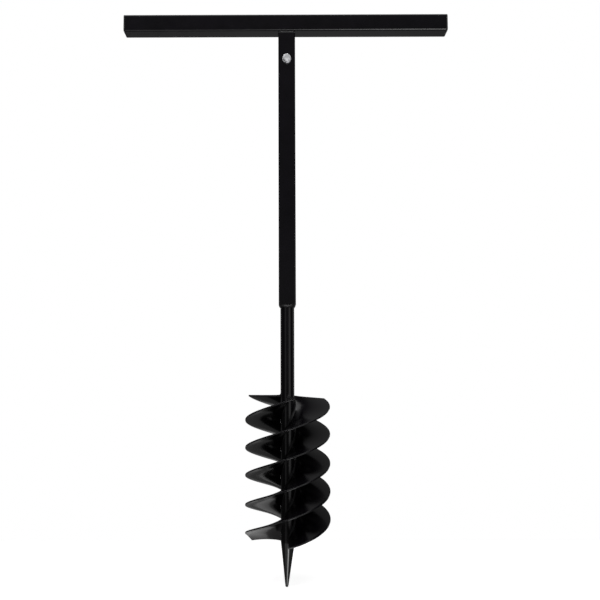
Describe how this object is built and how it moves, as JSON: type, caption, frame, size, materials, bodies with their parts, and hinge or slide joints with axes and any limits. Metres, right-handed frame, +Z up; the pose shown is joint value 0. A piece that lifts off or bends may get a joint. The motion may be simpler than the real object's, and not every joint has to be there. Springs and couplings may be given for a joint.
{
  "type": "soil auger",
  "caption": "Hand soil auger: a crossbar handle bolted on a square shaft, a thinner round tube below with steep helical blades, and a long point.",
  "frame": {"origin": "tip of the point, on the shaft's axis", "axes": "+Z up the shaft from the tip to the handle, +X along the handle, -Y the side with the bolt's head"},
  "size_m": [0.6, 0.1524, 1.04],
  "materials": {
    "black_paint": "satin black powder coat",
    "black_plastic": "matte moulded",
    "zinc_plate": "bright zinc plate"
  },
  "bodies": {
    "auger": {"handle_bar": "black_paint", "handle_cap_left": "black_plastic", "handle_cap_right": "black_plastic", "handle_stub": "black_paint", "handle_weld": "black_paint", "shaft_tube": "black_paint", "shaft_weld": "black_paint", "lower_tube": "black_paint", "blade_1": "black_paint", "blade_2": "black_paint", "blade_3": "black_paint", "blade_weld_1": "black_paint", "blade_weld_2": "black_paint", "blade_weld_3": "black_paint", "spike": "black_paint"},
    "bolt": {"cross_bolt": "zinc_plate", "bolt_washer": "zinc_plate"},
    "nut_washers": {"nut_washer": "zinc_plate", "spring_washer": "zinc_plate"},
    "nut": {"cross_nut": "zinc_plate"}
  },
  "joints": [
    {"name": "bolt_turn", "type": "hinge", "parent": "auger", "child": "bolt", "pos_m": [0, 0, 0.955], "axis": [0, 1, 0], "continuous": true},
    {"name": "nut_travel", "type": "slide", "parent": "bolt", "child": "nut_washers", "axis": [0, 1, 0], "range_m": [0, 0.01]},
    {"name": "nut_turn", "type": "hinge", "parent": "nut_washers", "child": "nut", "pos_m": [0, 0, 0.955], "axis": [0, 1, 0], "range_deg": [0, 2880]}
  ],
  "couplings": [
    {"joint": "nut_travel", "follows": "nut_turn", "m_per_rad": 0.00019894}
  ]
}
